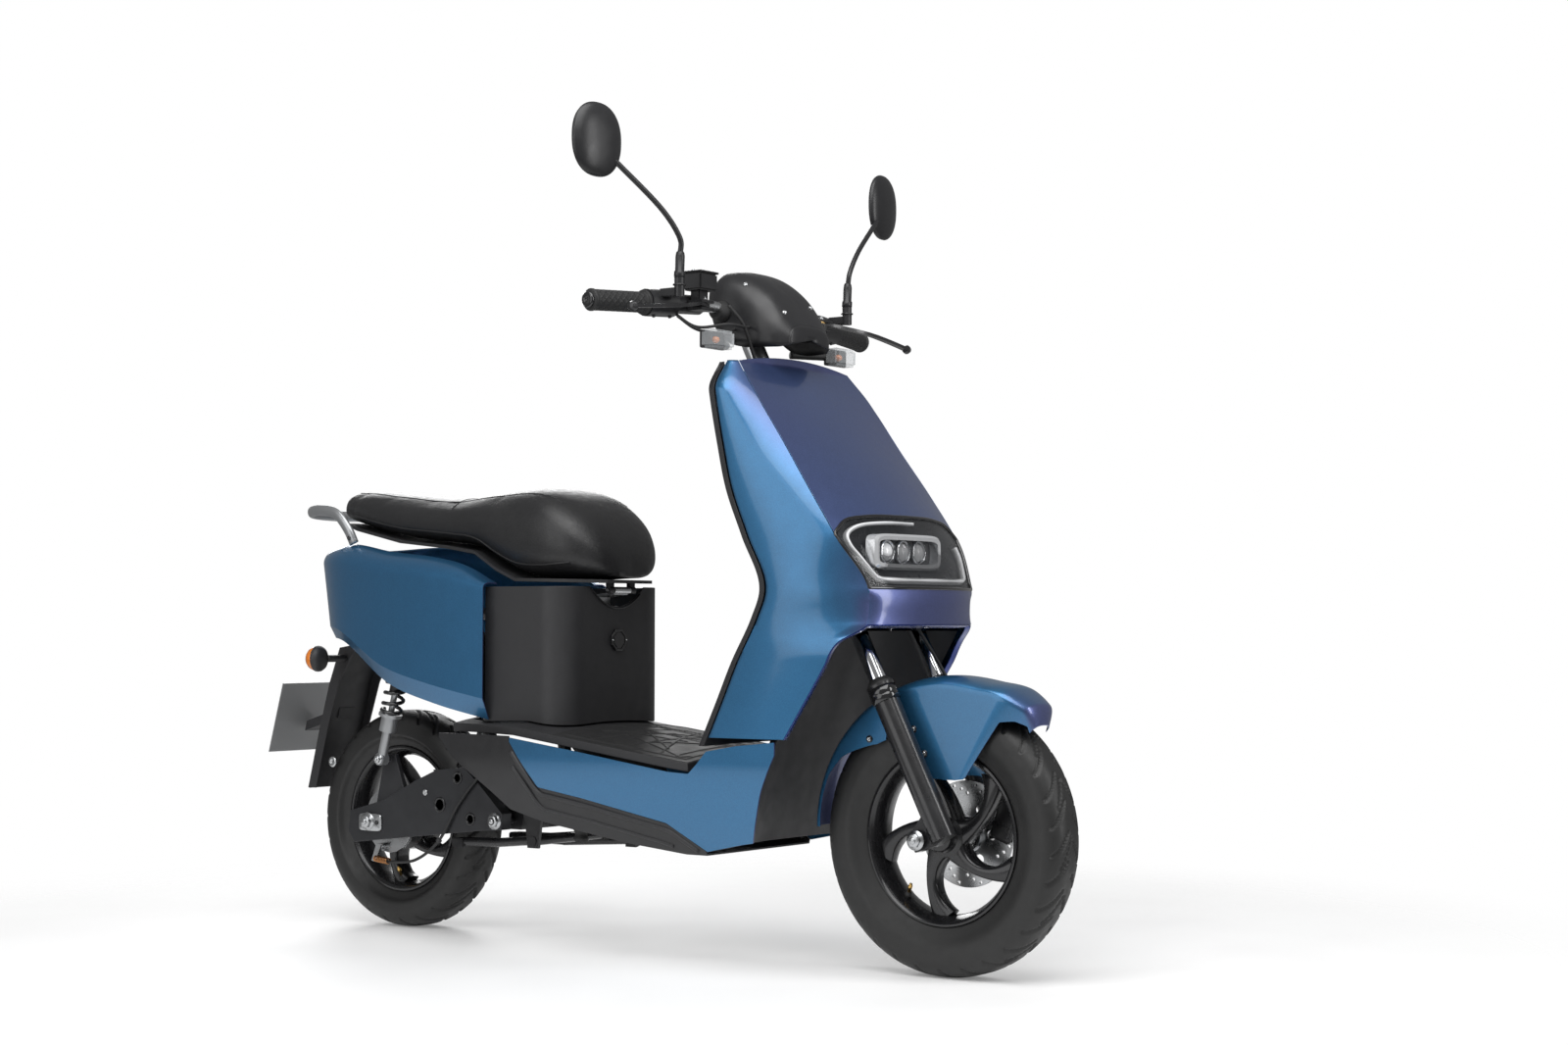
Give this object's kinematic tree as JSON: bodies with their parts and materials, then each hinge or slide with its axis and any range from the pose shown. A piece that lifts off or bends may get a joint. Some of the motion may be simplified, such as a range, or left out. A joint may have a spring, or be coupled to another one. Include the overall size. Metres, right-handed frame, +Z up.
{
  "type": "moped scooter",
  "caption": "Electric step-through scooter with leg shield, flat deck, seat over a storage tower, sprung fork and swing arm, turning bars, levers, mirrors and folding stands",
  "frame": {"origin": "centre of the bounding box on the floor, under both tyres", "axes": "+X forward, +Y the rider's left, +Z up"},
  "size_m": [1.7989, 0.9314, 1.447],
  "materials": {
    "blue_paint": "metallic blue lacquer",
    "satin_black": "satin black",
    "matt_black": "matt black",
    "black_metal": "black paint",
    "cast_black": "black cast",
    "seat_leather": "grained black",
    "foam_pan": "moulded",
    "rubber": "matt",
    "tyre": "tread",
    "steel": "bright",
    "chrome": "polished",
    "silver": "silver paint",
    "clear": "clear lens",
    "amber": "amber lens",
    "red": "red lens",
    "plate": "blank grey"
  },
  "bodies": {
    "chassis": {"frame": "black_metal", "apron_shell": "blue_paint", "front_panel": "blue_paint", "headlight_lens": "clear", "inner_shield": "satin_black", "wheel_liner": "satin_black", "deck": "matt_black", "side_skirt_left": "blue_paint", "side_skirt_right": "blue_paint", "belly_pan": "satin_black", "seat_tower": "matt_black", "seat_hinge": "steel", "battery": "matt_black", "rear_cover_left": "blue_paint", "rear_cover_right": "blue_paint", "grab_rail": "silver", "tail_light": "red", "rear_indicator_left": "amber", "rear_indicator_right": "amber", "rear_mudguard": "satin_black", "number_plate": "plate"},
    "steering": {"fork_yoke": "chrome", "handlebar": "black_metal", "cockpit_cover": "satin_black", "dash_display": "clear", "left_grip": "rubber", "right_controls": "satin_black", "left_controls": "satin_black", "front_indicator_left": "clear", "front_indicator_right": "clear", "front_brake_hose": "rubber"},
    "fork_slider": {"fork_lower": "black_metal", "front_fender": "blue_paint", "brake_caliper": "black_metal"},
    "front_wheel": {"front_rim": "cast_black", "front_tyre": "tyre", "brake_disc": "steel"},
    "throttle": {"throttle_grip": "rubber"},
    "right_lever": {"brake_lever_right": "cast_black"},
    "left_lever": {"brake_lever_left": "cast_black"},
    "right_mirror": {"mirror_right": "satin_black"},
    "left_mirror": {"mirror_left": "satin_black"},
    "starter": {"start_button": "silver"},
    "horn": {"horn_button": "silver"},
    "seat": {"seat_cushion": "seat_leather", "seat_pan": "foam_pan"},
    "rear_arm": {"swing_arm": "black_metal", "rear_axle": "steel", "rear_brake_cable": "rubber"},
    "rear_wheel": {"rear_rim": "cast_black", "rear_tyre": "tyre"},
    "shock_upper_right": {"shock_body_right": "black_metal"},
    "shock_upper_left": {"shock_body_left": "black_metal"},
    "shock_lower_right": {"shock_rod_right": "silver"},
    "shock_lower_left": {"shock_rod_left": "silver"},
    "brake_arm": {"rear_brake_arm": "steel"},
    "stand_side": {"side_stand": "black_metal"},
    "stand_centre": {"centre_stand": "black_metal"},
    "key": {"ignition_key": "steel"},
    "port_flap": {"charge_port_flap": "matt_black"}
  },
  "joints": [
    {"name": "steering_turn", "type": "hinge", "parent": "chassis", "child": "steering", "pos_m": [0.5245, 0, 0.534], "axis": [-0.4524, 0, 0.8918], "range_deg": [-35, 35]},
    {"name": "fork_travel", "type": "slide", "parent": "steering", "child": "fork_slider", "axis": [-0.4524, 0, 0.8918], "range_m": [0, 0.045], "stiffness_N_per_m": 9000, "springref_m": -0.05, "deforming": ["front_brake_hose"]},
    {"name": "front_wheel_spin", "type": "hinge", "parent": "fork_slider", "child": "front_wheel", "pos_m": [0.6665, 0, 0.233], "axis": [0, 1, 0], "continuous": true},
    {"name": "throttle_twist", "type": "hinge", "parent": "steering", "child": "throttle", "pos_m": [0.22487, -0.272, 1.13123], "axis": [-0.1504, -0.9872, -0.054], "range_deg": [0, 65], "stiffness_Nm_per_rad": 0.5, "springref_deg": -22.92},
    {"name": "right_brake_pull", "type": "hinge", "parent": "steering", "child": "right_lever", "pos_m": [0.27364, -0.171, 1.13254], "axis": [0, 0, -1], "range_deg": [0, 13], "stiffness_Nm_per_rad": 2, "springref_deg": -11.46},
    {"name": "right_mirror_turn", "type": "hinge", "parent": "steering", "child": "right_mirror", "pos_m": [0.2785, -0.245, 1.1725], "axis": [0, 0, 1], "range_deg": [-30, 30]},
    {"name": "start_press", "type": "slide", "parent": "steering", "child": "starter", "axis": [0.9545, 0, 0.2983], "range_m": [0, 0.0022], "stiffness_N_per_m": 500, "springref_m": -0.002},
    {"name": "left_brake_pull", "type": "hinge", "parent": "steering", "child": "left_lever", "pos_m": [0.27364, 0.171, 1.13254], "axis": [0, 0, 1], "range_deg": [0, 13], "stiffness_Nm_per_rad": 2, "springref_deg": -11.46},
    {"name": "left_mirror_turn", "type": "hinge", "parent": "steering", "child": "left_mirror", "pos_m": [0.2785, 0.245, 1.1725], "axis": [0, 0, 1], "range_deg": [-30, 30]},
    {"name": "horn_press", "type": "slide", "parent": "steering", "child": "horn", "axis": [0.9545, 0, 0.2983], "range_m": [0, 0.0022], "stiffness_N_per_m": 500, "springref_m": -0.002},
    {"name": "seat_open", "type": "hinge", "parent": "chassis", "child": "seat", "pos_m": [-0.0565, 0, 0.6485], "axis": [0, 1, 0], "range_deg": [0, 60]},
    {"name": "rear_arm_travel", "type": "hinge", "parent": "chassis", "child": "rear_arm", "pos_m": [-0.2585, 0, 0.224], "axis": [0, 1, 0], "range_deg": [0, 5], "stiffness_Nm_per_rad": 2600, "springref_deg": -5.73},
    {"name": "rear_wheel_spin", "type": "hinge", "parent": "rear_arm", "child": "rear_wheel", "pos_m": [-0.5855, 0, 0.2095], "axis": [0, 1, 0], "continuous": true},
    {"name": "right_shock_top", "type": "hinge", "parent": "chassis", "child": "shock_upper_right", "pos_m": [-0.4675, -0.13, 0.6], "axis": [0, 1, 0], "range_deg": [-3, 3]},
    {"name": "right_shock_foot", "type": "hinge", "parent": "rear_arm", "child": "shock_lower_right", "pos_m": [-0.5395, -0.13, 0.33], "axis": [0, 1, 0], "range_deg": [-8, 8]},
    {"name": "left_shock_top", "type": "hinge", "parent": "chassis", "child": "shock_upper_left", "pos_m": [-0.4675, 0.13, 0.6], "axis": [0, 1, 0], "range_deg": [-3, 3]},
    {"name": "left_shock_foot", "type": "hinge", "parent": "rear_arm", "child": "shock_lower_left", "pos_m": [-0.5395, 0.13, 0.33], "axis": [0, 1, 0], "range_deg": [-8, 8]},
    {"name": "brake_arm_pull", "type": "hinge", "parent": "rear_arm", "child": "brake_arm", "pos_m": [-0.5975, -0.069, 0.158], "axis": [0, -1, 0], "range_deg": [0, 15]},
    {"name": "side_stand_swing", "type": "hinge", "parent": "chassis", "child": "stand_side", "pos_m": [-0.1155, 0.118, 0.18], "axis": [0, -0.9579, -0.287], "range_deg": [0, 95]},
    {"name": "centre_stand_swing", "type": "hinge", "parent": "chassis", "child": "stand_centre", "pos_m": [-0.1805, 0, 0.19], "axis": [0, -1, 0], "range_deg": [0, 95]},
    {"name": "key_turn", "type": "hinge", "parent": "chassis", "child": "key", "pos_m": [0.27196, 0.075, 0.93], "axis": [-1, 0, 0], "range_deg": [0, 90]},
    {"name": "port_flap_open", "type": "hinge", "parent": "chassis", "child": "port_flap", "pos_m": [-0.0614, 0, 0.571], "axis": [0, -1, 0], "range_deg": [0, 72]}
  ],
  "couplings": [
    {"joint": "right_shock_top", "follows": "rear_arm_travel", "ratio": -0.16965},
    {"joint": "right_shock_foot", "follows": "rear_arm_travel", "ratio": -1.1697},
    {"joint": "left_shock_top", "follows": "rear_arm_travel", "ratio": -0.16965},
    {"joint": "left_shock_foot", "follows": "rear_arm_travel", "ratio": -1.1697},
    {"joint": "brake_arm_pull", "follows": "left_brake_pull", "ratio": 1.1539}
  ]
}
